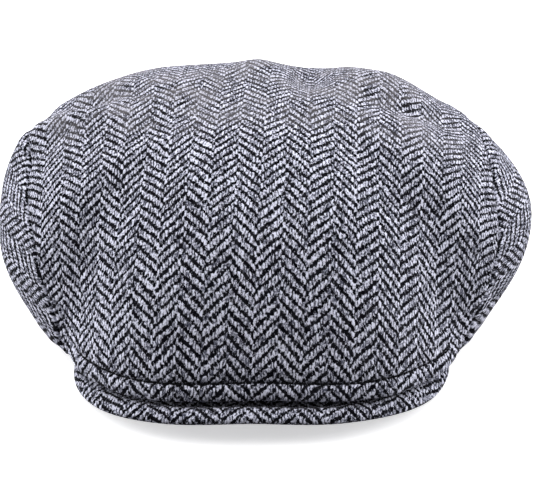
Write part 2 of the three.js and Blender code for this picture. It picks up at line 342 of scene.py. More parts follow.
def edge_rows(length, fine, coarse, close=(), both=False, growth=0.35):
    """Distances along the cloth, close together near its edges and near the listed distances."""
    stops, d = [0.0], 0.0
    while d < length:
        gaps = [d] + [abs(d - c) for c in close] + ([length - d] if both else [])
        d += np.clip(growth * min(gaps), fine, coarse)
        stops.append(d)
    rows = np.array(stops) * (length / stops[-1])
    return lambda total: rows * (total / length)


def normals(grid, closed=False):
    """Outward normals of a grid of points, columns to the right and rows up."""
    if closed:
        across = np.roll(grid, -1, 0) - np.roll(grid, 1, 0)
    else:
        across = np.gradient(grid, axis=0)
    n = unit(np.cross(across, np.gradient(grid, axis=1)))
    return np.where(lengths(n)[..., None] > 0.5, n, [0, 0, 1.0])


def waves(points, wavelength, seed, count=7):
    """A smooth random field from -1 to 1 over points in space."""
    rng = np.random.default_rng(seed)
    direction = unit(rng.normal(size=(count, 3)))
    scale = 2 * np.pi / (wavelength * rng.uniform(0.7, 1.5, count))
    phase = rng.uniform(0, 2 * np.pi, count)
    return np.sin(points @ (direction * scale[:, None]).T + phase).mean(-1) * 1.6


def slouch(points, outward):
    """Moves crown points from the drafted shape to the way this cap lies."""
    moved = points.copy()
    x, y, z = points[..., 0], points[..., 1], points[..., 2]
    high = smooth(z, 22, 80) * smooth(y, -115, -70)  # nothing at the rim and over the peak
    lift = np.zeros_like(x)
    for (cx, cy), (wide, deep), turn, height in DENTS:
        c, s = np.cos(np.radians(turn)), np.sin(np.radians(turn))
        across, along = c * (x - cx) + s * (y - cy), c * (y - cy) - s * (x - cx)
        lift += height * np.exp(-(across / wide) ** 2 - (along / deep) ** 2)
    lift += sum(height * waves(points, length, seed) for height, length, seed in RIPPLES)
    moved += outward * (lift * high)[..., None]
    moved[..., 0] += CROWN_SWAY * smooth(z, 10, 60) * smooth(y, -110, -30)
    for side, (cy, cz), (deep, tall), out in FULLNESS:
        share = smooth(side * x, 55, 105) * smooth(z, 0, 8)
        share = share * np.exp(-((y - cy) / deep) ** 2 - ((z - cz) / tall) ** 2)
        moved[..., 0] += side * out * share
    return moved


# ---- Cloth coordinates ----

def front_to_back(n):
    """The direction along the top of the cap at each normal, from front to back."""
    return np.cross(n, [1.0, 0, 0])


def round_the_cap(n):
    """The level direction at each normal."""
    return np.cross([0, 0, 1.0], n)


def surface_share(grid, closed):
    """The area that belongs to each point of a grid."""
    if closed:
        grid = np.concatenate([grid[-1:], grid, grid[:1]])
    area = lengths(np.gradient(grid, axis=0)) * lengths(np.gradient(grid, axis=1))
    return area[1:-1] if closed else area


def least_squares(first, second, weight, target, size, guess, steps=700):
    """Values whose differences along the edges best meet the targets, by conjugate gradient."""
    def gather(flow):
        return np.bincount(second, flow, size) - np.bincount(first, flow, size)

    x = guess.astype(float).copy()
    diagonal = np.bincount(first, weight, size) + np.bincount(second, weight, size)
    diagonal = np.maximum(diagonal, 1e-9)
    r = gather(weight * (target - (x[second] - x[first])))
    z = r / diagonal
    p, rz = z.copy(), r @ z
    for _ in range(steps):
        q = gather(weight * (p[second] - p[first]))
        a = rz / max(p @ q, 1e-30)
        x += a * p
        r -= a * q
        z = r / diagonal
        rz, old = r @ z, rz
        if rz < 1e-7:
            break
        p = z + rz / old * p
    return x


def grid_index(columns, rows, pole):
    """Numbers of a grid's points; at a pole, the last row is one point."""
    index = np.arange(columns * rows).reshape(columns, rows)
    if pole:
        index[:, -1] = index[0, -1]
    return index


def cloth_map(grid, warp, dome=False, truest=None):
    """Cloth coordinates in millimetres: the first across the warp and the second along it.

    The warp follows a field of directions as nearly as a smooth map can. A dome is closed all
    round, and its last row is one point. With truest, the map is ten times as strict in the
    middle of the cap, and that distance to each side of it.
    """
    columns, rows = grid.shape[:2]
    n = normals(grid, dome)
    along = unit(warp(n))
    across = np.cross(along, n)
    index = grid_index(columns, rows, dome)
    right = np.roll(index, -1, 0)
    upward = (index[:, :-1], index[:, 1:])
    sideways = (index, right) if dome else (index[:-1], index[1:])
    first, second = [np.concatenate([a.ravel(), b.ravel()]) for a, b in zip(upward, sideways)]
    keep = first != second
    first, second = first[keep], second[keep]
    flat = grid.reshape(-1, 3)
    edge = flat[second] - flat[first]
    room = surface_share(grid, dome).ravel()
    weight = (room[first] + room[second]) / np.maximum((edge ** 2).sum(1), 0.01)
    if truest:
        weight = weight * (1 + 9 * bell((flat[first, 0] + flat[second, 0]) / 2, truest))
    result = []
    for direction, start in ((across, 0), (along, 1)):
        d = direction.reshape(-1, 3)
        target = ((d[first] + d[second]) / 2 * edge).sum(1)
        result.append(least_squares(first, second, weight, target, len(flat), flat[:, start]))
    uv = np.stack(result, -1)
    return uv[index.ravel()].reshape(columns, rows, 2)


def turned(uv, degrees):
    a = np.radians(degrees)
    return uv @ np.array([[np.cos(a), -np.sin(a)], [np.sin(a), np.cos(a)]])


def flat_uv(grid):
    """Cloth coordinates by running distance, for pieces whose weave is too fine to see."""
    u = np.cumsum(lengths(np.diff(grid, axis=0, prepend=grid[:1])), axis=0)
    v = np.cumsum(lengths(np.diff(grid, axis=1, prepend=grid[:, :1])), axis=1)
    return np.stack([u.mean(1, keepdims=True) + 0 * v, v], -1)


# ---- Meshes ----

def add_object(name, data):
    obj = bpy.data.objects.new(name, data)
    bpy.context.scene.collection.objects.link(obj)
    return obj


def make_object(name, points, faces, uv=None):
    """A smooth mesh object from points in millimetres; uv is one pair for each point."""
    mesh = bpy.data.meshes.new(name)
    mesh.from_pydata((np.asarray(points) * MM).tolist(), [], faces)
    mesh.validate()
    mesh.polygons.foreach_set("use_smooth", [True] * len(mesh.polygons))
    if uv is not None:
        layer = mesh.uv_layers.new(name="cloth")
        corners = np.zeros(len(mesh.loops), np.int32)
        mesh.loops.foreach_get("vertex_index", corners)
        layer.data.foreach_set("uv", np.asarray(uv)[corners].astype(np.float32).ravel())
    mesh.update()
    return add_object(name, mesh)


def shell_faces(outside, inside, closed, pole):
    """The faces of a closed shell between two numbered grids, without those of no area."""
    columns, rows = outside.shape
    faces = []
    for i in range(columns if closed else columns - 1):
        a, b = outside[i], outside[(i + 1) % columns]
        c, d = inside[i], inside[(i + 1) % columns]
        for j in range(rows - 1):
            faces.append([a[j], b[j], b[j + 1], a[j + 1]])
            faces.append([c[j + 1], d[j + 1], d[j], c[j]])
        faces.append([c[0], d[0], b[0], a[0]])
        if not pole:
            faces.append([a[-1], b[-1], d[-1], c[-1]])
    if not closed:
        a, b = outside[0], outside[-1]
        c, d = inside[0], inside[-1]
        for j in range(rows - 1):
            faces.append([a[j], a[j + 1], c[j + 1], c[j]])
            faces.append([b[j + 1], b[j], d[j], d[j + 1]])
    faces = [[int(v) for n, v in enumerate(face) if v != face[n - 1]] for face in faces]
    return [face for face in faces if len(face) > 2]


def solid(name, outer, inner, uv, closed=False, pole=False):
    """A closed piece between an outer and an inner grid of points."""
    outside = grid_index(*outer.shape[:2], pole)
    faces = shell_faces(outside, outside + outside.size, closed, pole)
    points = np.concatenate([outer.reshape(-1, 3), inner.reshape(-1, 3)])
    pairs = np.concatenate([uv.reshape(-1, 2), uv.reshape(-1, 2)])
    used = np.unique(np.concatenate(faces))
    renumber = np.zeros(len(points), int)
    renumber[used] = np.arange(len(used))
    faces = [renumber[face].tolist() for face in faces]
    return make_object(name, points[used], faces, pairs[used])


def rounded(distance, radius):
    """How far an edge rounded to that radius falls back, at a distance from the edge."""
    d = np.clip(radius - distance, 0, radius)
    return radius - np.sqrt(np.maximum(radius ** 2 - d ** 2, 0))


def finish_cloth(name, grid, edge, radius, thickness, uv, dome=False):
    """A cloth panel whose edges are rounded: edge is each point's distance from its edge."""
    n = normals(grid, dome)
    fall = rounded(edge, radius)
    outer = grid - n * fall[..., None]
    inner = grid - n * np.maximum(thickness, fall + 0.1)[..., None]
    return solid(name, outer, inner, uv, dome, dome)


def tube(line, radius, sides):
    """Points and faces of a round thread along a line, tapered at both ends."""
    tangent = unit(np.gradient(line, axis=0))
    side = unit(np.cross(tangent, [0.31, 0.22, 0.92]))
    up = np.cross(side, tangent)
    turn = np.linspace(0, 2 * np.pi, sides + 1)[:-1]
    size = np.full(len(line), radius, float)
    size[[0, -1]] *= 0.3
    ring = np.cos(turn)[None, :, None] * side[:, None] + np.sin(turn)[None, :, None] * up[:, None]
    points = line[:, None] + ring * size[:, None, None]
    faces = []
    for i in range(len(line) - 1):
        for j in range(sides):
            k = (j + 1) % sides
            faces.append([i * sides + j, i * sides + k, (i + 1) * sides + k, (i + 1) * sides + j])
    faces.append(list(range(sides))[::-1])
    faces.append([(len(line) - 1) * sides + j for j in range(sides)])
    return points.reshape(-1, 3), faces


def many_tubes(name, lines, radius, sides=8):
    """One object of separate round threads."""
    points, faces, start = [], [], 0
    for line in lines:
        p, f = tube(line, radius, sides)
        points.append(p)
        faces += [[v + start for v in face] for face in f]
        start += len(p)
    return make_object(name, np.concatenate(points), faces)


# ---- Crown pieces ----

def seam_puff(distance, height):
    """The cloth swells a little beside a seam."""
    return height * bell(distance, 3.6, 5.5)


def puckers(angle, distance, seed):
    """Small gathers along a seam that fade into the cloth."""
    rng = np.random.default_rng(seed)
    phase = rng.uniform(0, 6.28, 4)
    wave = sum(np.sin(np.radians(angle) * n + p) for n, p in zip((31, 47, 23, 61), phase))
    return 0.16 * wave * np.exp(-distance / 9)


def seam_shift(angles):
    """Distance from the drafted seam up the crown to this cap's own, at signed angles."""
    shifts = np.transpose([LEFT_SHIFTS, RIGHT_SHIFTS])
    both = level_spline(SEAM_ANGLES, shifts, np.clip(np.abs(angles), CORNER, 180))
    return np.where(angles > 0, both[:, 0], both[:, 1])


def front_hem(depth):
    """The front hem's relief at distances up from its edge, and how much its cloth thins there.

    The stitches lie in a groove between a swelling and a roll, and the edge is tucked under.
    """
    swelling = np.sin(np.pi * np.clip(depth / STITCH_UP, 0, 1))
    groove = bell(depth, 0.9, STITCH_UP)
    roll = bell(depth, 5, 17)
    tuck = np.exp(-depth / 3)
    relief = 1.1 * swelling - 1.7 * groove + 0.9 * roll - 1.9 * tuck
    return relief, 1.2 * (groove + tuck).clip(0, 1)


def top_cloth():
    """The top panel, its front edge turned under and stitched, the rest sewn to the sides."""
    angles = full_circle(360)
    rows = edge_rows(170, 0.28, 3.0, close=(STITCH_UP,))
    grid, depth = by_distance(profiles(SHELL.top, angles), rows, seam_shift(angles))
    n = normals(grid, closed=True)
    front = 1 - smooth(np.abs(angles)[:, None], *HEM_ENDS)
    relief, thinning = front_hem(depth)
    lift = CLOTH_LIFT + front * relief + (1 - front) * seam_puff(depth, 0.7)
    lift = lift + puckers(angles[:, None], depth, 5)
    grid = slouch(grid + n * lift[..., None], n)
    uv = turned(cloth_map(grid, front_to_back, dome=True, truest=50), FABRIC_TWIST)
    uv[..., 0] -= STRIPE_SHIFT
    radius = HEM_EDGE + (CLOTH_EDGE - HEM_EDGE) * (1 - front) * np.ones_like(depth)
    thickness = CLOTH - front * thinning
    return finish_cloth("top_cloth", grid, depth, radius, thickness, uv, dome=True)


def side_cloth(name, wearer_side):
    """A side panel from the rim up to the seam, and from the peak's corner to the back seam."""
    angles = on_side(np.concatenate([
        np.linspace(CORNER, CORNER + 3, 8)[:-1],
        np.linspace(CORNER + 3, 177.5, 110)[:-1],
        np.linspace(177.5, 180, 8),
    ]), wearer_side)
    a = np.abs(angles)[:, None]
    side, top = profiles(SHELL.side, angles, 201), profiles(SHELL.top, angles)
    lines = np.concatenate([side, top[:, 1:]], 1)
    rows = edge_rows(90, 0.35, 2.6, both=True)
    grid, depth = by_distance(lines, rows, stop=line_lengths(side) + seam_shift(angles))
    total = depth[:, -1:]
    below_seam, from_back = total - depth, (180 - a) * DEGREE_AT_BACK
    n = normals(grid)
    shape = np.minimum(1, total / 30)
    lift = CLOTH_LIFT + shape * (seam_puff(below_seam, 0.6) + seam_puff(from_back, 0.4))
    lift = lift + puckers(a, below_seam, 6) + shape * 1.2 * bell(depth, 9, 16)
    grid = slouch(grid + n * lift[..., None], n)
    uv = cloth_map(grid, round_the_cap)
    edge = np.minimum(np.minimum(below_seam, depth), from_back)
    return finish_cloth(name, grid, edge, CLOTH_EDGE, CLOTH, uv)


def on_shell(surface, angles, t, offset):
    """Points on a crown surface, moved out by an offset and slouched as the cloth is."""
    angles, t = np.broadcast_arrays(np.asarray(angles, float), np.asarray(t, float))
    step, rise = 0.2, 0.004
    across = surface(angles + step, t) - surface(angles - step, t)
    up = surface(angles, np.minimum(t + rise, 1)) - surface(angles, np.maximum(t - rise, 0))
    n = unit(np.cross(across, up))
    return slouch(surface(angles, t) + n * np.asarray(offset)[..., None], n)


def seam_thread(name, wearer_side, sunk=0.9, radius=0.3):
    """The thread at the bottom of a side seam."""
    angles = np.linspace(CORNER + 4, 178, 260) * wearer_side
    edge = profiles(SHELL.top, angles)
    grid, _ = by_distance(edge, lambda total: np.array([0, 0.5, 1.0]), seam_shift(angles))
    n = normals(grid[::wearer_side])[::wearer_side]
    return many_tubes(name, [slouch(grid - sunk * n, n)[:, 0]], radius)


def back_seam_thread(sunk=0.5, radius=0.3):
    line = on_shell(SHELL.side, 180.0, np.linspace(0.05, 0.97, 60), -sunk)
    return many_tubes("back_seam", [line], radius)


def topstitches(count=66, end=47.0, share=0.8, radius=0.46):
    """Separate stitches that dip into the cloth at both ends, each a share of its pitch long."""
    pitch = 2 * end / count
    dip = 0.45 * hump(9) - 0.45
    lines = []
    for k in range(count):
        angles = -end + pitch * (k + 0.5 + share * np.linspace(-0.5, 0.5, 9))
        reach = SHELL.station(angles)[3]
        lines.append(on_shell(SHELL.top, angles, STITCH_UP / (3 * reach), dip))
    return many_tubes("topstitches", lines, radius, 6)


def interlining(end=48.0, sunk=1.9, thickness=0.8):
    """The canvas behind the front of the top panel."""
    angles = np.linspace(-end, end, 65)[:, None]
    t = np.linspace(0.05, 0.42, 24)[None, :]
    outer, inner = [on_shell(SHELL.top, angles, t, -d) for d in (sunk, sunk + thickness)]
    return solid("canvas_interlining", outer, inner, flat_uv(outer))


# ---- Lining ----

def quilting(uv):
    """Height of the wadding between two families of stitched diagonals, 0 to 1."""
    u, v = uv[..., 0], uv[..., 1]
    one, other = [np.abs(np.sin(np.pi * way / QUILT / np.sqrt(2))) for way in (u + v, u - v)]
    return np.sqrt(one * other)


def lining_piece(name, surface, angles, length, dome=False):
    """A quilted piece: flat towards the shell, padded towards the head."""
    grid, depth = by_distance(profiles(surface, angles), edge_rows(length, 0.8, 2.2, both=not dome))
    n = normals(grid, dome)
    grid = slouch(grid, n)
    uv = cloth_map(grid, front_to_back, dome)
    edge = depth if dome else np.minimum(depth, depth[:, -1:] - depth)
    padding = QUILT_HEIGHT * quilting(uv) * smooth(edge, 1, 8)
    outer = grid + n * LINING_CLOTH / 2
    inner = grid - n * (LINING_CLOTH / 2 + padding)[..., None]
    return solid(name, outer, inner, uv, dome, dome)


def lining_top():
    angles = full_circle(240)
    return lining_piece("quilted_lining_top", INSIDE.top, angles, 160, dome=True)


def lining_side(name, wearer_side):
    return lining_piece(name, INSIDE.side, on_side(np.linspace(60, 179.7, 100), wearer_side), 70)


# ---- Bands inside the rim ----

def band_grid(inset, low, high, columns, rows):
    """Points and cloth coordinates of a band that follows the rim."""
    angles = full_circle(columns)[:, None]
    z = np.linspace(low, high, rows)[None, :]
    points = polar(angles, rim_radius(angles) - inset, rim_rise(angles) + z)
    steps = np.diff(points[:, 0], axis=0, prepend=points[:1, 0])
    around = np.cumsum(lengths(steps))[:, None]
    return points, np.stack([around + 0 * z, z + 0 * around], -1)


def sweatband(insets=(5.6, 4.4), low=1.0, high=33.0, columns=400):
    """A folded grosgrain band: thinner at both long edges, with a groove under its stitches."""
    (inner, uv), (outer, _) = [band_grid(inset, low, high, columns, 33) for inset in insets]
    z = uv[..., 1]
    pinch = 0.45 * (bell(z, 0.9, low) + bell(z, 0.9, high))
    groove = 0.25 * bell(z, 0.7, BAND_STITCH_UP)
    ripple = 0.3 * waves(inner * [1, 1, 0.3], 40, 12) * smooth(z, 10, 30)
    outward = polar(full_circle(columns)[:, None], 1.0, 0.0)
    inner = inner + outward * (pinch + groove + ripple)[..., None]
    outer = outer + outward * (-pinch + ripple)[..., None]
    return solid("sweatband_cloth", outer, inner, uv, closed=True)


def band_stitches(count=190, share=0.32, inset=5.5, bow=0.35, radius=0.26):
    lines = []
    for k in range(count):
        angles = 360 / count * (k + share * np.linspace(-1, 1, 7))
        line_radius = rim_radius(angles) - inset - bow * hump(7)
        lines.append(polar(angles, line_radius, rim_rise(angles) + BAND_STITCH_UP))
    return many_tubes("band_stitches", lines, radius, 6)


def stay_tape(insets=(1.85, 1.15), low=1.5, high=8.5):
    (inner, _), (outer, uv) = [band_grid(inset, low, high, 240, 8) for inset in insets]
    return solid("stay_tape", outer, inner, uv, closed=True)


def woven_patch(name, width, depth, place, frayed=0.5, thickness=0.6):
    """A blank label: a thin cloth rectangle with soft corners, laid by place(x, y)."""
    steps = np.linspace(-width / 2, width / 2, 41), np.linspace(-depth / 2, depth / 2, 31)
    x, y = np.meshgrid(*steps, indexing="ij")
    middle = place(x, y)
    edge = np.minimum(width / 2 - np.abs(x), depth / 2 - np.abs(y))
    half = thickness / 2 * (0.45 + 0.55 * smooth(edge, 0, frayed))
    rise = normals(middle) * half[..., None]
    return solid(name, middle + rise, middle - rise, np.stack([x, y], -1))


def lining_label(width=60, depth=36, below_apex=3.7, sag=0.004):
    def place(x, y):
        height = LINING_APEX - below_apex - sag * (x ** 2 + y ** 2)
        flat = np.stack([x, y + APEX_BACK, height], -1)
        return slouch(flat, np.array([0, 0, 1.0]))

    return woven_patch("blank_label", width, depth, place)


def size_tab(width=14, depth=20, back=97.3, up=17):
    """A blank tab on the sweatband, at the back."""
    def place(x, y):
        return np.stack([-x, back + 0.25 * np.sin(y / 5), y + up], -1)

    return woven_patch("blank_size_tab", width, depth, place)


# ---- Peak ----

def peak_outline(u):
    """The peak's edge, for u from -1 at its right corner to 1 at its left corner."""
    turn = np.radians(90 - np.abs(u) * (90 + PEAK["corner_lean"]))
    power = np.where(turn > 0, 2 / PEAK["fullness"], 1.0)
    reach = np.where(turn > 0, PEAK["front"], PEAK["rear"])
    x = PEAK["half_width"] * np.maximum(np.cos(turn), 0) ** power
    y = PEAK["widest_y"] - np.sign(turn) * reach * np.abs(np.sin(turn)) ** power
    return np.stack([np.sign(u) * x, y], -1)


def peak_root(u):
    """Where the line in from each point of the outline meets the rim."""
    angle = u * PEAK["root_angle"]
    return polar(angle, rim_radius(angle) + PEAK["root_gap"], 0)[..., :2]


def peak_length(u):
    return lengths(peak_outline(u) - peak_root(u))


def peak_height(x, y, inset):
    """Height of the peak's middle surface: arched across, sloping, and pressed by the crown."""
    middle = np.maximum(1 - (x / PEAK["arch_width"]) ** 2, 0)
    back = y - (PEAK["widest_y"] - PEAK["front"])
    height = PEAK["centre"] - PEAK["arch"] * (x / PEAK["arch_width"]) ** 2
    return height + PEAK["slope"] * back * middle - PEAK["sink"] * smooth(inset, 7, 14) * middle


def peak_drift(points):
    """Moves peak points to this peak's place: off centre, cut back, its left corner raised."""
    x, y = points[..., 0], points[..., 1]
    forward = smooth(-y, 96, 140)
    corner = smooth(x, 60, 92) * bell(y, 20, -78)
    moved = points.copy()
    moved[..., 0] += 2.0 * corner - 3.0 * forward
    moved[..., 1] += forward * (2.5 * smooth(42 - np.abs(x), 0, 42) + 0.5 * smooth(x, 10, 70))
    moved[..., 2] += 3.0 * corner
    return moved


def peak_points(u, inset, offset):
    """Points of the peak at distances in from its outline and heights off its middle."""
    outer, root = peak_outline(u), peak_root(u)
    share = np.minimum(inset / peak_length(u), 1)[..., None]
    flat = outer + (root - outer) * share
    height = peak_height(flat[..., 0], flat[..., 1], inset) + offset
    return peak_drift(np.concatenate([flat, height[..., None]], -1))


def peak_cover(name, side, meet, swell, columns=241, rows=33):
    """A cover from the root to the outline, rolled over the edge to the angle where two meet.

    Side is 1 for the upper cover and -1 for the under cover.
    """
    u = np.linspace(-1, 1, columns)[:, None]
    half = PEAK["half_thickness"]
    roll = np.radians(np.linspace(90 * side, meet, 9))[None, :]
    level = half + (np.linspace(1, 0, rows + 1) ** 1.25)[None, :-1] * (peak_length(u) - half)

    def face(radius, swell):
        rolled = half - radius * np.cos(roll) + 0 * u
        up = side * radius + swell * bell(level, 4, 6)
        inset = np.concatenate([level, rolled], 1)
        offset = np.concatenate([up, radius * np.sin(roll) + 0 * u], 1)
        return peak_points(u, inset, offset)

    outer, inner = face(half, swell), face(half - PEAK["cover"], 0.0)
    if side > 0:
        outer, inner = outer[:, ::-1], inner[:, ::-1]
    uv = turned(cloth_map(outer, front_to_back), FABRIC_TWIST)
    return solid(name, outer, inner, uv)


def peak_layer(name, low, high, columns=121, rows=30):
    """A flat layer inside the peak, between two heights off its middle."""
    end, edge = PEAK["layer_share"], PEAK["layer_inset"]
    u = np.linspace(-end, end, columns)[:, None]
    inset = edge + np.linspace(0, 1, rows)[None, :] * (peak_length(u) - edge)
    outer, inner = [peak_points(u, inset, height) for height in (high, low)]
    return solid(name, outer, inner, flat_uv(outer))


def peak_seam():
    angles = np.linspace(-55, 55, 160)
    line = polar(angles, rim_radius(angles) - 0.1, rim_rise(angles) + 2.5)
    return many_tubes("peak_seam", [line], 0.35)


# ---- Materials ----

WHITE = (1, 1, 1, 1)


class Graph:
    """The shader nodes of a material or a world, written as expressions."""

    def __init__(self, owner):
        owner.use_nodes = True
        self.owner, self.tree = owner, owner.node_tree

    def node(self, kind, **settings):
        node = self.tree.nodes.new(kind)
        for key, value in settings.items():
            setattr(node, key, value)
        return node

    def feed(self, socket, value):
        if isinstance(value, bpy.types.NodeSocket):
            self.tree.links.new(value, socket)
        else:
            socket.default_value = value

    def set(self, node, values):
        for key, value in values.items():
            self.feed(node.inputs[key], value)

    def result(self, kind, *values, **settings):
        """The first output of a new node whose first inputs are these values."""
        node = self.node(kind, **settings)
        for socket, value in zip(node.inputs, values):
            self.feed(socket, value)
        return node.outputs[0]

    def math(self, operation, *values):
        return self.result("ShaderNodeMath", *values, operation=operation)

    def add(self, a, b):
        return self.math("ADD", a, b)

    def minus(self, a, b):
        return self.math("SUBTRACT", a, b)

    def times(self, a, b):
        return self.math("MULTIPLY", a, b)

    def sine(self, value, wavelength):
        return self.math("SINE", self.times(value, 2 * np.pi / wavelength))

    def ramp(self, *values):
        """A smooth step: value, low and high, then what they become if not 0 and 1."""
        return self.result("ShaderNodeMapRange", *values, interpolation_type="SMOOTHSTEP")

    def mix(self, factor, a, b):
        node = self.node("ShaderNodeMix", data_type="RGBA")
        self.set(node, {"Factor": factor, 6: a, 7: b})  # 6 and 7 are its colours
        return node.outputs[2]

    def join(self, *numbers):
        return self.result("ShaderNodeCombineXYZ", *numbers)

    def split(self, vector):
        node = self.node("ShaderNodeSeparateXYZ")
        self.feed(node.inputs[0], vector)
        return list(node.outputs)

    def cloth(self):
        """The two cloth coordinates, in millimetres."""
        return self.split(self.node("ShaderNodeUVMap", uv_map="cloth").outputs[0])[:2]

    def place(self):
        """The place on the piece, in metres."""
        return self.node("ShaderNodeTexCoord").outputs["Object"]

    def noise(self, vector, scale, detail=2.0, roughness=0.55):
        node = self.node("ShaderNodeTexNoise")
        self.set(node, {"Vector": vector, "Scale": scale, "Detail": detail, "Roughness": roughness})
        return node.outputs[0]

    def cloth_noise(self, u, v, across, along, seed=0.0, **settings):
        """Noise that runs with the cloth; across and along are its scales per millimetre."""
        vector = self.join(self.times(u, across), self.times(v, along), seed)
        return self.noise(vector, 1.0, **settings)

    def chance(self, *numbers):
        """A random value from 0 to 1 for each set of numbers."""
        return self.result("ShaderNodeTexWhiteNoise", self.join(*numbers))

    def around_zero(self, value, size=1.0):
        """A value from 0 to 1 as one from half of size below zero to half above."""
        return self.times(self.minus(value, 0.5), size)

    def bump(self, height, distance, strength):
        node = self.node("ShaderNodeBump")
        self.set(node, {"Strength": strength, "Distance": distance, "Height": height})
        self.set(self.tree.nodes["Principled BSDF"], {"Normal": node.outputs[0]})

    def finish(self, colour, roughness, sheen=0.0, sheen_colour=WHITE, specular=0.3, glow=0.0):
        self.set(self.tree.nodes["Principled BSDF"], {
            "Base Color": colour,
            "Roughness": roughness,
            "Sheen Weight": sheen,
            "Sheen Roughness": 0.35,
            "Sheen Tint": sheen_colour,
            "Specular IOR Level": specular,
            "Emission Color": WHITE,
            "Emission Strength": glow,
        })
        return self.owner


def material(name):
    return Graph(bpy.data.materials.new(name))


def srgb(*channels):
    """A colour given in 8-bit display values, as linear light."""
    c = np.array(channels, float) / 255
    linear = np.where(c <= 0.04045, c / 12.92, ((c + 0.055) / 1.055) ** 2.4)
    return (*linear.tolist(), 1.0)


WOOL = {
    "warp_light": srgb(212, 213, 230),
    "warp_dull": srgb(66, 68, 82),
    "weft": srgb(6, 6, 12),
    # Near black, for the painted shade in the gaps between weft yarns.
    "painted_gap_shade": srgb(0, 0, 2),
    "haze": srgb(120, 120, 130),
    # Pale grey for the painted sheen on the top of the cap.
    "top_sheen": srgb(126, 123, 127),
}


def wandering_cloth(g):
    """Cloth coordinates that drift a little, as hand-laid cloth does."""
    u, v = g.cloth()
    u = g.add(u, g.around_zero(g.cloth_noise(u, v, 0.12, 0.12), 2.6))
    v = g.add(v, g.around_zero(g.cloth_noise(u, v, 0.2, 0.2, 7.0), 1.4))
    return u, v


def herringbone(g, u, v):
    """Each end's number and the place across it; each repeat's number and the phase in it.

    The weave steps up one pick for each end, and down in every second stripe.
    """
    end = g.times(u, 1 / YARN)
    number = g.math("FLOOR", end)
    across = g.around_zero(g.minus(end, number))
    stripe = g.math("FLOOR", g.times(number, 1 / ENDS_PER_STRIPE))
    parity = g.math("FLOORED_MODULO", stripe, 2.0)
    sign = g.minus(1.0, g.times(parity, 2.0))
    pick = g.add(g.times(number, sign), g.times(v, 1 / PICK))
    pick = g.add(pick, parity)
    pick = g.add(pick, g.times(g.times(across, sign), 0.45))
    jitter = g.cloth_noise(number, v, 3.7, 0.35, 4.0, detail=1.0)
    pick = g.add(pick, g.around_zero(jitter, 1.5))
    repeat = g.times(pick, 0.25)
    turn = g.math("FLOOR", repeat)
    return number, across, turn, g.times(g.minus(repeat, turn), 4.0)


def painted_top_sheen(g, colour):
    """Painted sheen: the top of the cap, towards its back, is painted pale grey in patches, for the
    light that its nap catches there.
    """
    place = g.place()
    _, back, up = g.split(place)
    sheen_share = g.times(g.ramp(up, 0.080, 0.102), g.ramp(back, -0.030, 0.010, 0.0, 0.38))
    patches = g.ramp(g.noise(place, 55, 3.0, 0.6), 0.40, 0.62, 0.05, 1.0)
    return g.mix(g.times(sheen_share, patches), colour, WOOL["top_sheen"])


def wool_herringbone():
    """A 2/2 herringbone: a light warp in stripes of eight ends over a dark weft."""
    g = material("wool_herringbone")
    u, v = wandering_cloth(g)
    number, across, turn, phase = herringbone(g, u, v)

    # The warp floats over two picks, then dives under two.
    long_way = g.sine(phase, 4.0)
    round_yarn = g.add(0.62, g.times(g.math("COSINE", g.times(across, 2 * np.pi)), 0.38))
    warp_shape = g.times(g.add(long_way, 0.32), round_yarn)
    weft_line = g.math("FRACT", g.times(v, 1 / PICK))
    weft_shape = g.times(g.math("MAXIMUM", g.times(long_way, -1.0), 0.0), g.sine(weft_line, 2.0))

    # Fibres, and the luck of each yarn and each float, break up its colour and its outline.
    fibre = g.around_zero(g.cloth_noise(u, v, 1.25, 0.6, detail=3.0, roughness=0.75))
    each_float, each_yarn = g.chance(number, turn, 1.0), g.chance(number, 3.0, 2.0)
    level = g.add(g.times(each_float, 0.6), g.times(each_yarn, 0.2))
    # The round of each warp yarn also lifts its level: painted shade, each yarn painted paler along
    # its middle and duller at its sides.
    level = g.add(g.add(level, g.times(fibre, 4.6)), g.times(round_yarn, 0.55))
    edge = g.add(warp_shape, g.times(fibre, 3.0))
    edge = g.add(edge, g.around_zero(g.chance(number, turn, 5.0), 0.3))

    warp = g.mix(g.ramp(level, 0.35, 1.25), WOOL["warp_dull"], WOOL["warp_light"])
    # Painted shade: each weft pick is painted near black at its edges and where the warp lies over
    # it, and lighter along its middle.
    dark = g.mix(g.ramp(weft_shape, 0.1, 0.8), WOOL["painted_gap_shade"], WOOL["weft"])
    colour = g.mix(g.ramp(edge, -0.02, 0.34), dark, warp)
    haze = g.ramp(g.cloth_noise(u, v, 0.3, 0.3, 3.0), 0.35, 0.75, 0.0, 0.05)
    # Painted sheen on the top of the cap goes in last, over the woven colours.
    colour = painted_top_sheen(g, g.mix(haze, colour, WOOL["haze"]))

    hairs = g.cloth_noise(u, v, 2.2, 2.2, 9.0, detail=3.0)
    height = g.add(g.math("SQRT", g.math("MAXIMUM", edge, 0.0)), g.times(weft_shape, 0.35))
    g.bump(g.add(height, g.times(hairs, 0.35)), 0.00045, 0.8)
    return g.finish(colour, 0.92, sheen=0.04, sheen_colour=srgb(250, 240, 240), specular=0.02)


def speckled(name, noise, bump, dark, light, roughness, **settings):
    """Two shades and small bumps that follow one noise; noise and bump are their settings."""
    g = material(name)
    grain = g.noise(g.place(), *noise)
    g.bump(grain, *bump)
    colour = g.mix(g.ramp(grain, 0.3, 0.7), srgb(*dark), srgb(*light))
    return g.finish(colour, roughness, **settings)


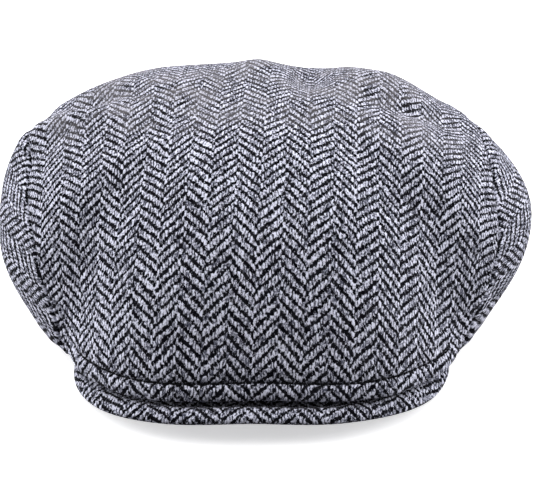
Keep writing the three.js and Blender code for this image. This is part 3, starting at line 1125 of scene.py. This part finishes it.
def plain_weave(name, dark, light, pitch, rib=1.0):
    """A plain weave too fine to pick out: over-and-under threads in a checker of small bumps."""
    g = material(name)
    u, v = g.cloth()
    weave = g.times(g.sine(u, 2 * pitch), g.sine(v, 2 * pitch * rib))
    thread = g.ramp(weave, -0.6, 0.6)
    cloud = g.cloth_noise(u, v, 0.08, 0.08, detail=3.0)
    mixed = g.add(g.times(thread, 0.6), g.times(cloud, 0.5))
    colour = g.mix(g.ramp(mixed, 0.1, 1.0), srgb(*dark), srgb(*light))
    g.bump(thread, 0.0002, 0.7)
    return g.finish(colour, 0.85, sheen=0.1)


def lining_satin():
    """A dark satin, its quilting stitched in two families of diagonals."""
    g = material("lining_satin")
    u, v = g.cloth()
    wavelength = 2 * np.sqrt(2) * QUILT
    one = g.math("ABSOLUTE", g.sine(g.add(u, v), wavelength))
    other = g.math("ABSOLUTE", g.sine(g.minus(u, v), wavelength))
    line = g.ramp(g.math("MINIMUM", one, other), 0.0, 0.05)
    cloud = g.cloth_noise(u, v, 0.05, 0.05, detail=3.0)
    cloth = g.mix(g.ramp(cloud, 0.3, 0.7), srgb(72, 74, 86), srgb(96, 98, 112))
    colour = g.mix(line, srgb(38, 39, 46), cloth)
    g.bump(g.add(g.times(g.sine(v, 0.35), 0.06), line), 0.0004, 0.6)
    return g.finish(colour, 0.42, sheen=0.05, specular=0.5)


def woven_label():
    """The woven cloth of the blank labels."""
    g = material("woven_label")
    u, v = g.cloth()
    weave = g.times(g.sine(v, 0.5), g.sine(u, 0.7))
    colour = g.mix(g.ramp(weave, -0.7, 0.7), srgb(150, 151, 156), srgb(186, 187, 190))
    g.bump(weave, 0.0001, 0.6)
    return g.finish(colour, 0.6, sheen=0.1)


def materials():
    """The material of each slot."""
    return {
        "wool_herringbone": wool_herringbone(),
        "lining_satin": lining_satin(),
        "woven_label": woven_label(),
        "canvas": plain_weave("canvas", (62, 61, 62), (96, 95, 94), 0.8),
        "sweatband_cotton": plain_weave(
            "sweatband_cotton", (20, 21, 26), (40, 41, 48), 0.45, rib=3.0),
        "sewing_thread": speckled(
            "sewing_thread", (2600,), (0.0001, 0.5), (2, 2, 5), (15, 16, 21), 0.8,
            sheen=0.02, specular=0.1),
        "peak_board": speckled(
            "peak_board", (420, 4.0), (0.00015, 0.4), (214, 211, 200), (234, 232, 224), 0.55),
        "peak_padding": speckled(
            "peak_padding", (260, 5.0, 0.7), (0.0006, 0.8), (196, 193, 183), (226, 223, 214), 0.95,
            sheen=0.3),
    }


# ---- Assembly ----

def crown_pieces():
    """Each crown piece with its CAD node and material slot."""
    return [
        (top_cloth(), "top_panel", "wool_herringbone"),
        (side_cloth("left_cloth", 1), "left_side_panel", "wool_herringbone"),
        (side_cloth("right_cloth", -1), "right_side_panel", "wool_herringbone"),
        (seam_thread("left_seam", 1), "left_seam_thread", "sewing_thread"),
        (seam_thread("right_seam", -1), "right_seam_thread", "sewing_thread"),
        (back_seam_thread(), "back_seam_thread", "sewing_thread"),
        (topstitches(), "front_topstitch", "sewing_thread"),
        (interlining(), "crown_interlining", "canvas"),
        (lining_top(), "lining_top", "lining_satin"),
        (lining_side("quilted_lining_left", 1), "lining_left", "lining_satin"),
        (lining_side("quilted_lining_right", -1), "lining_right", "lining_satin"),
        (stay_tape(), "headband_tape", "canvas"),
        (sweatband(), "sweatband", "sweatband_cotton"),
        (band_stitches(), "sweatband_stitch", "sewing_thread"),
        (lining_label(), "lining_label", "woven_label"),
        (size_tab(), "size_tab", "woven_label"),
        (peak_seam(), "peak_seam_thread", "sewing_thread"),
    ]


def peak_pieces():
    top = peak_cover("peak_top_cloth", side=1, meet=-25.0, swell=0.9)
    under = peak_cover("peak_under_cloth", side=-1, meet=-27.0, swell=-0.2)
    return [
        (top, "peak_upper_cover", "wool_herringbone"),
        (under, "peak_under_cover", "wool_herringbone"),
        (peak_layer("stiff_board", -1.15, 0.05), "peak_board", "peak_board"),
        (peak_layer("wadding", 0.2, 1.1), "peak_padding", "peak_padding"),
    ]


def follow_peak(piece):
    """The crown piece stays where it is, its place baked into its mesh."""
    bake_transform(piece)


def on_peak(piece):
    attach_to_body(piece, "peak")


def assemble():
    looks = materials()
    for pieces, attach in ((crown_pieces(), follow_peak), (peak_pieces(), on_peak)):
        for piece, node, slot in pieces:
            piece.data.materials.append(looks[slot])
            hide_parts(node)
            attach(piece)


# ---- Camera, light and floor ----

def aimed(name, data, position, back):
    """A new camera or light that looks the opposite way of a direction."""
    obj = add_object(name, data)
    obj.location = position
    obj.rotation_euler = back.to_track_quat("Z", "Y").to_euler()
    return obj


def camera():
    data = bpy.data.cameras.new("camera")
    data.lens, data.sensor_width, data.clip_end = LENS, 36.0, 50
    height = np.radians(CAMERA_HEIGHT)
    back = Vector((0, -np.cos(height), np.sin(height)))
    place = TARGET + CAMERA_DISTANCE * back
    bpy.context.scene.camera = aimed("camera", data, place, back)


def soft_light(name, position, size, power):
    """A square area light that faces the cap."""
    data = bpy.data.lights.new(name, "AREA")
    data.size, data.energy = size, power
    aimed(name, data, position, Vector(position) - Vector((0, 0, 0.05)))


def floor():
    """A pale floor that lights nothing, so the cap's shaded front keeps its contrast."""
    corners = [(-1, -1), (1, -1), (1, 1), (-1, 1)]
    points = [(x * FLOOR_HALF, y * FLOOR_HALF, FLOOR_HEIGHT) for x, y in corners]
    mesh = bpy.data.meshes.new("floor")
    mesh.from_pydata(points, [], [(0, 1, 2, 3)])
    obj = add_object("floor", mesh)
    pale = material("pale_floor").finish(srgb(244, 244, 245), 0.9, specular=0.1, glow=0.5)
    obj.data.materials.append(pale)
    obj.visible_diffuse = False


def sky():
    """Even white light, dimmer in front and below the floor, brightest at the two sides."""
    g = Graph(bpy.data.worlds.new("studio"))
    x, y, z = g.split(g.node("ShaderNodeTexCoord").outputs["Generated"])
    strength = g.times(g.ramp(y, -0.8, 0.2, 0.12, 1.1), g.ramp(z, -0.3, 0.1, 0.4, 1.0))
    aside = g.ramp(g.math("ABSOLUTE", x), 0.1, 0.85, 0.5, 2.1)
    strength = g.times(strength, aside)
    g.set(g.tree.nodes["Background"], {"Color": WHITE, "Strength": strength})
    bpy.context.scene.world = g.owner


def studio():
    sky()
    for light in LIGHTS:
        soft_light(*light)
    floor()
    bpy.context.scene.view_settings.view_transform = "Standard"


assemble()
camera()
studio()
